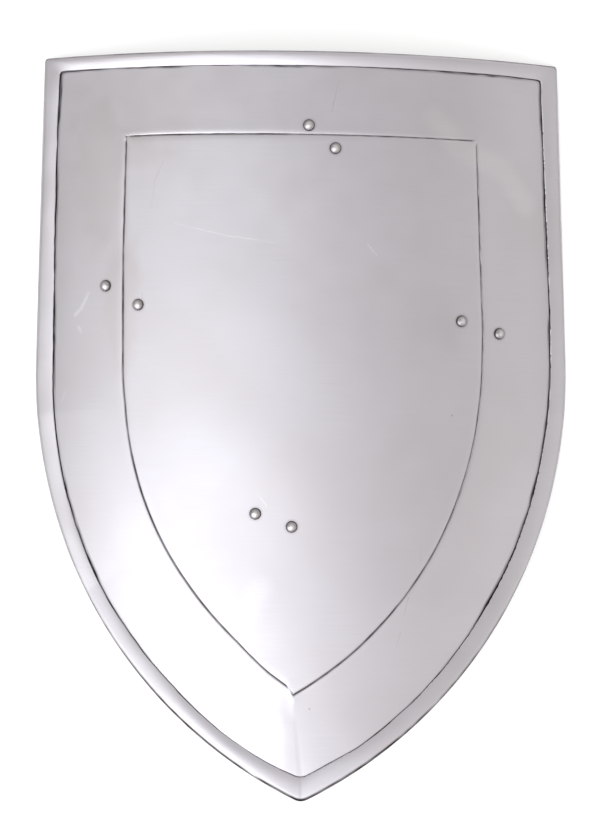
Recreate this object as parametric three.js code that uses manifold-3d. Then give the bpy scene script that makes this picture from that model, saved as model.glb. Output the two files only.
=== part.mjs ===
// Heater shield of sheet steel: a plate bent round its long axis, with a pressed line round its field and
// its own edge rolled over the front as a hollow rim. Two leather straps cross the back, each held by a pair
// of rivets at either end. Millimetres, +Z up. The shield lies face up on its side rims, point towards -Y.
import * as THREE from 'three';
import { mergeVertices } from 'three/addons/utils/BufferGeometryUtils.js';
import Module from 'manifold-3d';

const wasm = await Module();
wasm.setup();

// The plate's flat pattern, measured on the sheet before it is bent
const plateWidth = 535;
const plateHeight = 700.5;
const widestBelowTop = 300; // from the top edge down to the widest place
const sideSlant = 0.037; // lean of the straight upper sides, in radians
const bellyRadius = 414;
const bellyAngle = 0.63; // from the widest place down to where the point's arc starts, in radians
const topFall = 8; // the top edge is out of square: its left end is higher by this
const cornerRadius = 4.5;
const tipRounding = 2; // how far the rounded tip falls short of a sharp one

// The sheet and its bend
const sheetThickness = 1.2;
const bendRadius = 488;
const contactGap = 0.3;

// The rolled rim
const rimWidths = { top: 13.4, corner: 16.6, belly: 17.6, tip: 18.6 };
const rimCrown = 5.6; // height of the roll above the front face
const crownRoundness = 1.7; // above 1 the crown is flatter and falls more steeply to the raw edge

// The pressed line round the field
const bandWidths = { top: 77.3, corner: 91, belly: 95, tip: 92.5 }; // from the outer edge to the line
const lineDepth = 0.9;
const lineOuterShoulder = 4;
const lineInnerShoulder = 7;
const fieldShift = 1.2; // between its straight sides the field sits this far right of the middle

// Rivets and washers
const headDiameter = 11;
const headHeight = 3.4;
const shankDiameter = 5;
const tailDiameter = 7.5;
const tailHeight = 1.8;
const washerDiameter = 14;
const washerThickness = 1.3;

// Straps
const strapWidth = 50;
const strapThickness = 4;
const strapEndMargin = 16; // leather beyond the outermost rivet of a pair
const strapTabSlack = 10; // leather lying flat on the inner side of a pair, before the strap lifts
const strapCornerCut = 7;
const handRoom = 42; // clear height under the hand strap
const armRoom = 50; // clear height under the forearm strap
const strapFullness = 0.6; // below 1 the bow is broader than a plain buckled strip

// Rivet places on the flat pattern: across from the nearest side or from the middle, down from the top edge
const leftRivets = { acrossA: 77.9, downA: 216.1, acrossB: 111.8, downB: 234.7 };
const topRivets = { acrossA: 7.6, downA: 69.1, acrossB: 32.2, downB: 90.4 };
const rightRivets = { acrossA: 113.6, downA: 250.3, acrossB: 74.2, downB: 261.5 };
const bottomRivets = { acrossA: -42.3, downA: 430.5, acrossB: -8.5, downB: 442.6 };
const rivetPairs = {
  left: placePair(leftRivets, -plateWidth / 2, 1),
  top: placePair(topRivets, 0, 1),
  right: placePair(rightRivets, plateWidth / 2, -1),
  bottom: placePair(bottomRivets, 0, 1),
};

// Fineness of the facets
const topSegments = 13;
const straightSegments = 4;
const bellySegments = 7;
const pointSegments = 6;
const bandSegments = 3;
const crownSegments = 5;
const roundSegments = 12;
const domeSegments = 3;
const bowSegments = 14;
const strapColumns = 4;

const steel = new THREE.MeshStandardMaterial({ color: 0xc4c0c0, roughness: 0.32, metalness: 1 });
const rivetSteel = new THREE.MeshStandardMaterial({ color: 0xaeaaa8, roughness: 0.38, metalness: 1 });
const leather = new THREE.MeshStandardMaterial({ color: 0x4a2f1f, roughness: 0.7, metalness: 0 });

// The outline is a slanted straight side, the belly's arc and an arc that runs to the point. Every ring of
// the plate is this outline moved inwards: the arcs keep their centres and their radii shrink.
const topEdge = plateHeight / 2;
const tipHeight = topEdge - plateHeight;
const bellyCentre = new THREE.Vector2(plateWidth / 2 - bellyRadius, topEdge - widestBelowTop);
const bellyEnd = onArc(bellyCentre, bellyRadius, -bellyAngle);
const inward = new THREE.Vector2(-Math.cos(bellyAngle), Math.sin(bellyAngle));
const toTip = new THREE.Vector2(0, tipHeight).sub(bellyEnd);
const pointRadius = toTip.lengthSq() / (2 * toTip.dot(inward));
const pointCentre = bellyEnd.clone().addScaledVector(inward, pointRadius);
const edgeRadius = (rimCrown + sheetThickness) / 2; // of the half circle that the rim's roll starts with
const topCount = topSegments + 2; // steps along the top of a ring, with one at each rounded corner
const sideCount = 1 + straightSegments + bellySegments + pointSegments; // steps from a corner to the tip

function onArc(centre, radius, angle) {
  return new THREE.Vector2(centre.x + radius * Math.cos(angle), centre.y + radius * Math.sin(angle));
}

// A pair's two places; across is measured from a line of the plate, to its right for 1 and to its left for -1
function placePair({ acrossA, downA, acrossB, downB }, line, towards) {
  const top = plateHeight / 2;
  return [[line + towards * acrossA, top - downA], [line + towards * acrossB, top - downB]];
}

// How far a ring lies inside the outline at a place. A ring is named by its offset at the belly; elsewhere
// the rim and the band have widths of their own, and the half circle of the roll keeps its size.
function inset(offset, place) {
  const { lerp, inverseLerp } = THREE.MathUtils;
  if (offset <= edgeRadius) return offset;
  if (offset <= rimWidths.belly) {
    return lerp(edgeRadius, rimWidths[place], inverseLerp(edgeRadius, rimWidths.belly, offset));
  }
  if (offset <= bandWidths.belly) {
    return lerp(rimWidths[place], bandWidths[place], inverseLerp(rimWidths.belly, bandWidths.belly, offset));
  }
  return offset - bandWidths.belly + bandWidths[place];
}

// One side of the ring with the given offset, from its corner down to just before the tip.
// side is 1 on the right and -1 on the left, where the top edge is higher; both are given with x positive.
function sidePoints(offset, side) {
  const start = onArc(bellyCentre, bellyRadius - inset(offset, 'belly'), sideSlant);
  const foot = onArc(bellyCentre, bellyRadius - inset(offset, 'corner'), sideSlant);
  const fall = (side * topFall) / plateWidth;
  const rise = topEdge - inset(offset, 'top') - fall * foot.x - foot.y;
  const length = rise / (Math.cos(sideSlant) - fall * Math.sin(sideSlant));
  const upwards = new THREE.Vector2(-Math.sin(sideSlant), Math.cos(sideSlant));
  const corner = foot.clone().addScaledVector(upwards, length);
  const nearCorner = corner.clone().lerp(start, cornerRadius / corner.distanceTo(start));
  const points = [corner, nearCorner];
  for (let i = 1; i < straightSegments; i += 1) {
    points.push(nearCorner.clone().lerp(start, i / straightSegments));
  }
  for (let i = 0; i < bellySegments; i += 1) {
    const angle = sideSlant - ((sideSlant + bellyAngle) * i) / bellySegments;
    points.push(onArc(bellyCentre, bellyRadius - inset(offset, 'belly'), angle));
  }
  const tipAngle = Math.acos(-pointCentre.x / (pointRadius - inset(offset, 'tip')));
  for (let i = 0; i < pointSegments; i += 1) {
    const share = i / pointSegments;
    const radius = pointRadius - THREE.MathUtils.lerp(inset(offset, 'belly'), inset(offset, 'tip'), share);
    points.push(onArc(pointCentre, radius, -bellyAngle - (tipAngle - bellyAngle) * share));
  }
  return points;
}

// A closed ring of flat points: from the left corner along the top, down the right side, up the left side.
// Corners are rounded at the rim and turn sharp towards the pressed line.
function ringPoints(offset) {
  const { clamp, inverseLerp } = THREE.MathUtils;
  const inside = clamp(inverseLerp(rimWidths.belly, bandWidths.belly, offset), 0, 1);
  const right = sidePoints(offset, 1);
  const left = sidePoints(offset, -1).map((point) => new THREE.Vector2(-point.x, point.y));
  const leftCorner = left.shift();
  const width = right[0].distanceTo(leftCorner);
  const top = [];
  for (let i = 0; i <= topSegments; i += 1) {
    const along = cornerRadius + ((width - 2 * cornerRadius) * i) / topSegments;
    top.push(leftCorner.clone().lerp(right[0], along / width));
  }
  const pull = cornerRadius * (1 - Math.SQRT1_2) * (1 - inside);
  leftCorner.add(new THREE.Vector2(pull, -pull));
  right[0].add(new THREE.Vector2(-pull, -pull));
  const tipDrop = Math.sqrt((pointRadius - inset(offset, 'tip')) ** 2 - pointCentre.x ** 2);
  const tip = new THREE.Vector2(0, pointCentre.y - tipDrop + tipRounding * (1 - inside));
  const ring = [leftCorner, ...top, ...right, tip, ...left.reverse()];
  return ring.map((point, i) => {
    const beforeTip = Math.abs(topCount + sideCount - i) - pointSegments;
    const upBelly = clamp(beforeTip / bellySegments, 0, 1); // the shift fades out down the belly
    return new THREE.Vector2(point.x + fieldShift * inside * upBelly, point.y);
  });
}

// Bends a flat point round the long axis; height is measured outwards from the front face
function bend(p, q, height) {
  const angle = p / bendRadius;
  const reach = bendRadius + height;
  return new THREE.Vector3(reach * Math.sin(angle), q, reach * Math.cos(angle) - bendRadius);
}

// The roll's section: half a circle round the outer edge, over the crown and down to the raw edge, which
// stops just short of the front face and leaves the hollow open; then back along the inside.
// Points are distances from the outer edge and heights above the front face.
function rollSection() {
  const edgeCentre = new THREE.Vector2(edgeRadius, rimCrown - edgeRadius);
  const crownWidth = rimWidths.belly - edgeRadius;
  const rawEdge = contactGap + sheetThickness;
  const drop = rimCrown - rawEdge;
  const outer = [];
  const normals = [];
  for (const turn of [0.5, 0.75, 1, 1.25]) {
    const point = onArc(edgeCentre, edgeRadius, -turn * Math.PI);
    outer.push(point);
    normals.push(point.clone().sub(edgeCentre).normalize());
  }
  for (let i = 0; i <= crownSegments; i += 1) {
    const share = i / crownSegments;
    const bow = (Math.PI / 2) * share ** crownRoundness;
    const turning = (Math.PI / 2) * crownRoundness * share ** (crownRoundness - 1);
    const slope = (drop * Math.sin(bow) * turning) / crownWidth;
    outer.push(new THREE.Vector2(edgeRadius + crownWidth * share, rawEdge + drop * Math.cos(bow)));
    normals.push(new THREE.Vector2(slope, 1).normalize());
  }
  const inner = outer.map((point, i) => point.clone().addScaledVector(normals[i], -sheetThickness));
  return [...outer, ...inner.reverse()].map((point) => [point.x, point.y]);
}

// The whole section of the sheet, from the back's field out to the edge, round the roll and in to the front's
function plateSection() {
  const line = bandWidths.belly;
  const bandStart = rimWidths.belly + cornerRadius / 2;
  const bandEnd = line - lineOuterShoulder;
  const face = [];
  for (let i = 0; i <= bandSegments; i += 1) {
    face.push([bandStart + ((bandEnd - bandStart) * i) / bandSegments, 0]);
  }
  face.push([line - lineOuterShoulder / 4, -lineDepth / 2]);
  face.push([line, -lineDepth]);
  face.push([line + lineInnerShoulder / 3, -lineDepth / 3]);
  face.push([line + lineInnerShoulder, 0]);
  const back = face.map(([offset, height]) => [offset, height - sheetThickness]).reverse();
  return [...back, ...rollSection(), ...face];
}

// Stitches the rings into one closed skin and fills the field inside the first and the last ring
function plateGeometry() {
  const positions = [];
  const faces = [];

  function addVertex(point, height) {
    positions.push(...bend(point.x, point.y, height).toArray());
    return positions.length / 3 - 1;
  }

  function addStrip(from, to, turned) {
    for (let i = 0; i + 1 < from.length; i += 1) {
      const sides = [[from[i], from[i + 1], to[i + 1]], [from[i], to[i + 1], to[i]]];
      for (const [a, b, c] of sides) {
        if (a !== b && b !== c && c !== a) faces.push(...(turned ? [a, c, b] : [a, b, c]));
      }
    }
  }

  // The field is laid in rows, each from a point on the left side to its fellow on the right
  function addField(ring, offset, height, turned) {
    const flat = ringPoints(offset);
    const width = flat[topCount].x - flat[0].x;
    const shares = flat.slice(0, topCount + 1).map((point) => (point.x - flat[0].x) / width);
    let above = ring.slice(0, topCount + 1);
    for (let row = 1; row <= sideCount; row += 1) {
      const left = ring.length - row;
      const right = topCount + row;
      const below = shares.map((share, i) => {
        if (i === topCount || left === right) return ring[right];
        if (i === 0) return ring[left];
        return addVertex(flat[left].clone().lerp(flat[right], share), height);
      });
      addStrip(above, below, turned);
      above = below;
    }
  }

  const section = plateSection();
  const rings = section.map(([offset, height]) => {
    return ringPoints(offset).map((point) => addVertex(point, height));
  });
  for (let r = 0; r + 1 < rings.length; r += 1) {
    addStrip([...rings[r], rings[r][0]], [...rings[r + 1], rings[r + 1][0]], true);
  }
  addField(rings[0], ...section[0], false);
  addField(rings.at(-1), ...section.at(-1), true);
  const geometry = new THREE.BufferGeometry();
  geometry.setAttribute('position', new THREE.Float32BufferAttribute(positions, 3));
  geometry.setIndex(faces);
  return geometry;
}

function toSolid(geometry) {
  const bare = geometry.clone();
  bare.deleteAttribute('normal');
  bare.deleteAttribute('uv');
  const merged = mergeVertices(bare, 1e-4);
  const vertProperties = new Float32Array(merged.attributes.position.array);
  const triVerts = new Uint32Array(merged.index.array);
  return new wasm.Manifold(new wasm.Mesh({ numProp: 3, vertProperties, triVerts }));
}

function fromSolid(solid) {
  const mesh = solid.getMesh();
  const geometry = new THREE.BufferGeometry();
  geometry.setAttribute('position', new THREE.Float32BufferAttribute(mesh.vertProperties, 3));
  geometry.setIndex([...mesh.triVerts]);
  geometry.computeVertexNormals();
  return geometry;
}

// What a rivet holds together, measured down from the front face: the sheet with the ridge behind its pressed
// line, the leather and the washer, each with its clearance
const holeRadius = shankDiameter / 2 + contactGap;
const leatherSeat = sheetThickness + lineDepth + contactGap;
const washerSeat = leatherSeat + strapThickness + contactGap;
const tailSeat = washerSeat + washerThickness + contactGap;

// Turns and moves a thing made on the front face's own axes to its place on the bent sheet
function placeOnSheet(thing, [p, q]) {
  thing.position.copy(bend(p, q, 0));
  thing.rotation.y = p / bendRadius;
  return thing;
}

// Cuts clearance holes for the shanks of the given rivets
function drillFor(solid, places) {
  const drill = new THREE.CylinderGeometry(holeRadius, holeRadius, 2 * tailSeat, roundSegments);
  drill.rotateX(Math.PI / 2);
  return places.reduce((drilled, place) => {
    const bit = placeOnSheet(new THREE.Object3D(), place);
    bit.updateMatrix();
    return drilled.subtract(toSolid(drill.clone().applyMatrix4(bit.matrix)));
  }, solid);
}

function rivetGeometry() {
  const headRadius = headDiameter / 2;
  const profile = [
    new THREE.Vector2(0, -tailSeat - tailHeight),
    new THREE.Vector2(tailDiameter / 4, -tailSeat - tailHeight),
    new THREE.Vector2(tailDiameter / 2, -tailSeat - tailHeight / 3),
    new THREE.Vector2(tailDiameter / 2, -tailSeat),
    new THREE.Vector2(shankDiameter / 2, -tailSeat),
    new THREE.Vector2(shankDiameter / 2, contactGap),
    new THREE.Vector2(headRadius, contactGap),
  ];
  for (let i = 1; i <= domeSegments; i += 1) {
    const angle = (Math.PI / 2) * (i / domeSegments);
    const radius = i === domeSegments ? 0 : headRadius * Math.cos(angle);
    profile.push(new THREE.Vector2(radius, contactGap + headHeight * Math.sin(angle)));
  }
  return new THREE.LatheGeometry(profile, roundSegments).rotateX(Math.PI / 2);
}

function washerGeometry() {
  const profile = [
    new THREE.Vector2(holeRadius, -washerSeat - washerThickness),
    new THREE.Vector2(washerDiameter / 2, -washerSeat - washerThickness),
    new THREE.Vector2(washerDiameter / 2, -washerSeat),
    new THREE.Vector2(holeRadius, -washerSeat),
    new THREE.Vector2(holeRadius, -washerSeat - washerThickness),
  ];
  return new THREE.LatheGeometry(profile, roundSegments).rotateX(Math.PI / 2);
}

// A strap between two pairs of rivets: flat on the sheet at either end, bowed away from it between them.
// Its side view is extruded over its width, laid along the line between the pairs, and bent with the sheet.
function strapGeometry(startPair, endPair, room) {
  const start = middle(startPair);
  const direction = middle(endPair).sub(start);
  const length = direction.length();
  direction.normalize();
  const across = new THREE.Vector2(direction.y, -direction.x);
  const startSpread = spread(startPair, direction);
  const endSpread = spread(endPair, direction);
  const first = -startSpread - strapEndMargin;
  const last = length + endSpread + strapEndMargin;
  const bowStart = startSpread + strapTabSlack;
  const bowLength = length - endSpread - strapTabSlack - bowStart;
  const inner = [new THREE.Vector2(first, 0), new THREE.Vector2(first + strapCornerCut, 0)];
  const outer = inner.map((point) => new THREE.Vector2(point.x, -strapThickness));
  for (let i = 0; i <= bowSegments; i += 1) {
    const centre = bowPoint(i / bowSegments);
    const ahead = bowPoint(Math.min(1, (i + 0.5) / bowSegments));
    const behind = bowPoint(Math.max(0, (i - 0.5) / bowSegments));
    const normal = new THREE.Vector2(behind.y - ahead.y, ahead.x - behind.x).normalize();
    inner.push(centre.clone().addScaledVector(normal, strapThickness / 2));
    outer.push(centre.clone().addScaledVector(normal, -strapThickness / 2));
  }
  for (const along of [last - strapCornerCut, last]) {
    inner.push(new THREE.Vector2(along, 0));
    outer.push(new THREE.Vector2(along, -strapThickness));
  }

  function bowPoint(share) {
    const lift = ((1 - Math.cos(2 * Math.PI * share)) / 2) ** strapFullness;
    return new THREE.Vector2(bowStart + bowLength * share, -strapThickness / 2 - room * lift);
  }

  const sideView = new THREE.Shape([...inner, ...outer.reverse()]);
  const options = { depth: strapWidth, steps: strapColumns, bevelEnabled: false };
  const geometry = new THREE.ExtrudeGeometry(sideView, options);
  const position = geometry.attributes.position;
  for (let i = 0; i < position.count; i += 1) {
    const along = position.getX(i);
    const fromEnd = Math.min(along - first, last - along);
    const halfWidth = strapWidth / 2 - Math.max(0, strapCornerCut - fromEnd);
    const side = (position.getZ(i) / strapWidth) * 2 - 1;
    const flat = start.clone().addScaledVector(direction, along).addScaledVector(across, side * halfWidth);
    const bent = bend(flat.x, flat.y, position.getY(i) - leatherSeat);
    position.setXYZ(i, bent.x, bent.y, bent.z);
  }
  return geometry;
}

function middle(pair) {
  const [[p0, q0], [p1, q1]] = pair;
  return new THREE.Vector2((p0 + p1) / 2, (q0 + q1) / 2);
}

// How far a pair's rivets lie from their middle along a direction
function spread(pair, direction) {
  const [[p0, q0], [p1, q1]] = pair;
  return Math.abs(new THREE.Vector2(p1 - p0, q1 - q0).dot(direction)) / 2;
}

const shield = new THREE.Group();

function addMesh(name, geometry, material) {
  const mesh = new THREE.Mesh(geometry, material.clone());
  mesh.name = name;
  shield.add(mesh);
  return mesh;
}

// The side rims are flattened a little where the shield rests, so that it doesn't rock
const blank = plateGeometry();
blank.computeBoundingBox();
const { min, max } = blank.boundingBox;
const restDepth = sheetThickness / 2;
const grinder = new THREE.BoxGeometry(2 * plateWidth, 2 * plateHeight, 2 * restDepth).translate(0, 0, min.z);
const rested = toSolid(blank).subtract(toSolid(grinder));
const allPlaces = Object.values(rivetPairs).flat();
addMesh('shield_plate', fromSolid(drillFor(rested, allPlaces)), steel);

for (const [pairName, places] of Object.entries(rivetPairs)) {
  places.forEach((place, i) => {
    const letter = 'ab'[i];
    placeOnSheet(addMesh(`rivet_${pairName}_${letter}`, rivetGeometry(), rivetSteel), place);
    placeOnSheet(addMesh(`washer_${pairName}_${letter}`, washerGeometry(), rivetSteel), place);
  });
}

function addStrap(name, startPair, endPair, room) {
  const strap = toSolid(strapGeometry(startPair, endPair, room));
  addMesh(name, fromSolid(drillFor(strap, [...startPair, ...endPair])), leather);
}

addStrap('hand_strap', rivetPairs.left, rivetPairs.top, handRoom);
addStrap('forearm_strap', rivetPairs.bottom, rivetPairs.right, armRoom);

shield.position.set(0, -(min.y + max.y) / 2, -(min.z + restDepth));

export default shield;
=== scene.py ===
# Heater shield of satin sheet steel, lying on its side rims on a pale floor and seen from straight above.
import math
from functools import partial
import bpy
import numpy as np
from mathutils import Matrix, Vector
from mathutils.geometry import delaunay_2d_cdt


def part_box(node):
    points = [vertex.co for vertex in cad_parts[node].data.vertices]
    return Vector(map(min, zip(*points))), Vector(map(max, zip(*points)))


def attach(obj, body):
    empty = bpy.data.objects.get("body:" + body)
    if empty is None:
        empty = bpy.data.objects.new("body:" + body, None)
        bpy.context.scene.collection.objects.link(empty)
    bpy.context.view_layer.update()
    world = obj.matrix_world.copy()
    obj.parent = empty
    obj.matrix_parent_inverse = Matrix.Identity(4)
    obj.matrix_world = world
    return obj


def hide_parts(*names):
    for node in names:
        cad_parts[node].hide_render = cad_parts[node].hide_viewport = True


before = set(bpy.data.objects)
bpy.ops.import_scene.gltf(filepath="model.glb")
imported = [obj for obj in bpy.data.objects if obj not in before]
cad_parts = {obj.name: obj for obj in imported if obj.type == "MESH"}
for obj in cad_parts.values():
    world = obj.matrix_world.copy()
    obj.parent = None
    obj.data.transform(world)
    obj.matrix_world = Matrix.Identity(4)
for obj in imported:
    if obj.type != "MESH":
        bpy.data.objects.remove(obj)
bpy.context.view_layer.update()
print("frame loaded:", len(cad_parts), "nodes")

mm = 0.001
scene = bpy.context.scene
chance = np.random.default_rng(1361)  # every random lump and place comes from here
usualSettings = {"MapRange": {"interpolation_type": "SMOOTHSTEP"}, "Mix": {"data_type": "RGBA"}}


# Small helpers

def hexColour(code):  # sRGB hex to the linear colour that shaders use
    parts = [int(code[i:i + 2], 16) / 255 for i in (1, 3, 5)]
    linear = [c / 12.92 if c <= 0.04045 else ((c + 0.055) / 1.055) ** 2.4 for c in parts]
    return (*linear, 1.0)


# A kind in capitals is a Math node's operation. Values fill the inputs in order, and a name with a capital is
# an input's: a socket is linked, and a hex code becomes its colour. Small names are the node's own settings.
def addNode(tree, kind, *values, output=None, **named):
    if kind.isupper():
        kind, named["operation"] = "Math", kind
    node = tree.nodes.new(kind if "Node" in kind else "ShaderNode" + kind)
    for name, value in {**usualSettings.get(kind, {}), **named}.items():
        if name.islower():
            setattr(node, name, value)
    inputs = list(zip([socket for socket in node.inputs if socket.enabled], values))
    inputs += [(node.inputs[name.replace("_", " ")], value) for name, value in named.items()
               if not name.islower()]
    for socket, value in inputs:
        if isinstance(value, bpy.types.NodeSocket):
            tree.links.new(value, socket)
        else:
            socket.default_value = hexColour(value) if str(value).startswith("#") else value
    return node.outputs[output] if output else next((each for each in node.outputs if each.enabled), None)


def noiseOf(add, vector, size, detail=2.0, rough=0.5):  # lumps of that size, one number or one for each axis
    sized = add("Mapping", vector, Scale=[1 / length for length in np.broadcast_to(size, 3)])
    return add("TexNoise", sized, 1.0, detail, rough)


def smoothStep(value, low, high):
    share = np.clip((np.asarray(value, dtype=float) - low) / (high - low), 0, 1)
    return share * share * (3 - 2 * share)


def lumps(count, width, amount):  # handwork along a closed ring: smooth unevenness some stations wide
    steps = np.minimum(np.arange(count), count - np.arange(count))
    kernel = np.exp(-0.5 * (steps / width) ** 2)
    series = np.fft.ifft(np.fft.fft(chance.standard_normal(count)) * np.fft.fft(kernel)).real
    return amount * series / series.std()


def addPiece(name, points, faces, material, sharpAngle=40):
    mesh = bpy.data.meshes.new(name)
    mesh.from_pydata(points, [], faces)
    mesh.materials.append(material)
    mesh.shade_smooth()
    mesh.set_sharp_from_angle(angle=math.radians(sharpAngle))
    piece = bpy.data.objects.new(name, mesh)
    scene.collection.objects.link(piece)
    return piece


def storeOn(piece, name, values):  # a number or a vector for each point, for nodes to read
    values = np.asarray(values, dtype=np.float32)
    kind, field = ("FLOAT", "value") if values.ndim == 1 else ("FLOAT_VECTOR", "vector")
    piece.data.attributes.new(name, kind, "POINT").data.foreach_set(field, values.ravel())


def shaderInput(material, key):
    return material.node_tree.nodes["Principled BSDF"].inputs[key.replace("_", " ")]


def newMaterial(name, **constants):
    material = bpy.data.materials.new(name)
    material.use_nodes = True
    for key, value in constants.items():
        shaderInput(material, key).default_value = value
    return material, partial(addNode, material.node_tree)


def connect(material, **results):
    for key, socket in results.items():
        material.node_tree.links.new(socket, shaderInput(material, key))


# Camera, floor and light

camera = {"across": -0.7, "along": 4.1, "height": 2000, "lens": 88.89, "sensor": 36}  # mm, straight above
studio = {
    "floorHex": "#CFCFCF", "floorSize": 30, "floorRoughness": 0.9, "tableGlow": 0.5,  # the size is in metres
    "ambient": 0.499, "nearSky": 0.369, "skyTurn": 0.11,  # the sky is brighter on the viewer's side
    "farSky": 0.175, "wallLight": 0.18, "sideLight": 0.29, "box": 2.5, "boxLean": 0.09,
    "room": (1.006, 1, 0.966, 1), "lamp": (0.955, 1, 1.004, 1),  # the room beside the lamp is a little warmer
    "horizon": 0.06, "horizonRise": 0.4,
}
skyDegrees = {  # where each part sets in and where it is full; the box's middle and width
    "farSky": (7, 14), "wallLight": (14, 36), "sideLight": (36, 64), "room": (8, 26),
    "boxTop": (0.8, -5.8), "boxFoot": (-62, -44), "boxAcross": (-28.4, 21.8),
}


def addCamera():
    data = bpy.data.cameras.new("camera")
    data.sensor_fit = "VERTICAL"  # the photo is taller than wide
    data.sensor_height = camera["sensor"]
    data.lens = camera["lens"]
    thing = bpy.data.objects.new("camera", data)
    thing.location = [camera[key] * mm for key in ("across", "along", "height")]
    scene.collection.objects.link(thing)
    scene.camera = thing


def addSky():  # a wide softbox low on the left, a weak fill on the right and a dim horizon
    world = bpy.data.worlds.new("studio")
    world.use_nodes = True
    tree = world.node_tree
    add = partial(addNode, tree)
    place = add("SeparateXYZ", add("TexCoord", output="Generated")).node.outputs
    across = add("ARCTAN2", place["X"], place["Z"])
    along = add("ARCSINE", place["Y"])

    def eased(name, angle, most=1):
        none, full = np.radians(skyDegrees[name])
        return add("MapRange", angle, none, full, 0, most)

    turn, ambient = studio["skyTurn"], studio["ambient"]
    light = add("MapRange", place["Y"], -turn, turn, ambient + studio["nearSky"], ambient)
    for name, angle in (("farSky", along), ("wallLight", along), ("sideLight", across)):
        light = add("ADD", light, eased(name, angle, studio[name]))
    middle, width = np.radians(skyDegrees["boxAcross"])
    lean = add("MULTIPLY", along, studio["boxLean"])
    aside = add("SUBTRACT", add("SUBTRACT", across, middle), lean)
    square = add("POWER", add("DIVIDE", aside, width), 2.0)
    bell = add("POWER", math.exp(-0.5), square)
    for name in ("boxTop", "boxFoot"):
        bell = add("MULTIPLY", bell, eased(name, along))
    light = add("ADD", light, add("MULTIPLY", bell, studio["box"]))
    rise = add("MapRange", place["Z"], 0, studio["horizonRise"], studio["horizon"], 1)
    light = add("MULTIPLY", light, rise)
    besides = eased("room", add("ABSOLUTE", across))
    warm = add("MULTIPLY", besides, add("SUBTRACT", 1.0, bell))
    colour = add("Mix", warm, (1, 1, 1, 1), studio["room"])
    colour = add("Mix", bell, colour, studio["lamp"])
    tree.links.new(light, tree.nodes["Background"].inputs["Strength"])
    tree.links.new(colour, tree.nodes["Background"].inputs["Color"])
    scene.world = world


def addFloor():  # white paper on a table lit from below
    material = newMaterial("floorPaper", Base_Color=hexColour(studio["floorHex"]),
                           Roughness=studio["floorRoughness"], Emission_Color=(1, 1, 1, 1),
                           Emission_Strength=studio["tableGlow"])[0]
    half = studio["floorSize"] / 2
    corners = [(-half, -half, 0), (half, -half, 0), (half, half, 0), (-half, half, 0)]
    addPiece("floor", corners, [(0, 1, 2, 3)], material)


addCamera()
addSky()
addFloor()
scene.view_settings.view_transform = "Standard"
scene.view_settings.look = "None"
print("camera, light and floor")


# The plate's flat pattern and its bend, in mm as on the bench: across from the middle, along from mid height

plate = {
    "width": 534.2, "height": 699.9, "widestBelowTop": 300, "sideSlant": 0.037,
    "bellyRadius": 414, "bellyAngle": 0.63, "topFall": 8, "thickness": 1.2, "bendRadius": 488,
    "rimWidth": 17.6, "bandWidth": 95,  # both at the belly
    "rimCrown": 5.6, "flattened": 4.0, "crownRoundness": 2.1, "rawEdge": 1.4, "lineDepth": 0.9,
    "lineSoft": 0.4, "lineSharp": 0.54, "lineHalf": 1.2, "backSharpness": 0.4,
    "outerShoulder": 9, "innerShoulder": 7,
    "cornerReach": 5, "tipReach": 7, "overshoot": 7,  # the right line runs past the tip by this
    "meetFirst": 3, "meetSpan": 60,  # stations over which the left side bends to the right side's end
    "topSteps": 400, "sideSteps": 600, "fieldSpacing": 5.2,
}
rimWidth, bandWidth, thickness = plate["rimWidth"], plate["bandWidth"], plate["thickness"]

# Widths of rim and band as hammered, by share of the way from a corner to the tip or along the top
rimTop = [(0, 13.0), (0.5, 13.3), (0.9, 13.6), (1, 14.6)]
rimRight = [(0, 18.3), (0.16, 17.0), (0.3, 15.7), (0.4, 17.8), (0.5, 18.9), (0.66, 19.1), (0.82, 17.8),
            (0.92, 17.8), (0.96, 20.0), (1, 20.4)]
rimLeft = [(0, 17.8), (0.06, 15.8), (0.22, 16.5), (0.34, 18.8), (0.43, 18.5), (0.52, 17.1), (0.66, 16.1),
           (0.8, 17.6), (0.89, 16.6), (0.95, 18.0), (1, 20.4)]
bandTop = [(0, 78.0), (0.1, 77.4), (1, 77.3)]
bandRight = [(0, 90.4), (0.3, 90.2), (0.42, 94.2), (0.56, 95.2), (0.75, 93.0), (0.88, 91.8), (1, 92.3)]
bandLeft = [(0, 91.6), (0.18, 92.2), (0.42, 97.0), (0.55, 95.2), (0.75, 93.2), (0.86, 92.4), (0.94, 89.2),
            (1, 88.6)]

topEdge = plate["height"] / 2
edgeRadius = (plate["rimCrown"] + thickness) / 2  # of the half circle that the roll starts with
bellyCentre = np.array([plate["width"] / 2 - plate["bellyRadius"], topEdge - plate["widestBelowTop"]])
bellyTurn = np.array([math.cos(plate["bellyAngle"]), -math.sin(plate["bellyAngle"])])
bellyEnd = bellyCentre + plate["bellyRadius"] * bellyTurn
toTip = np.array([0, -topEdge]) - bellyEnd
pointRadius = toTip @ toTip / (2 * toTip @ -bellyTurn)
pointCentre = bellyEnd - pointRadius * bellyTurn
slantTurn = np.array([math.cos(plate["sideSlant"]), math.sin(plate["sideSlant"])])
upwards = np.array([-slantTurn[1], slantTurn[0]])

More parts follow.
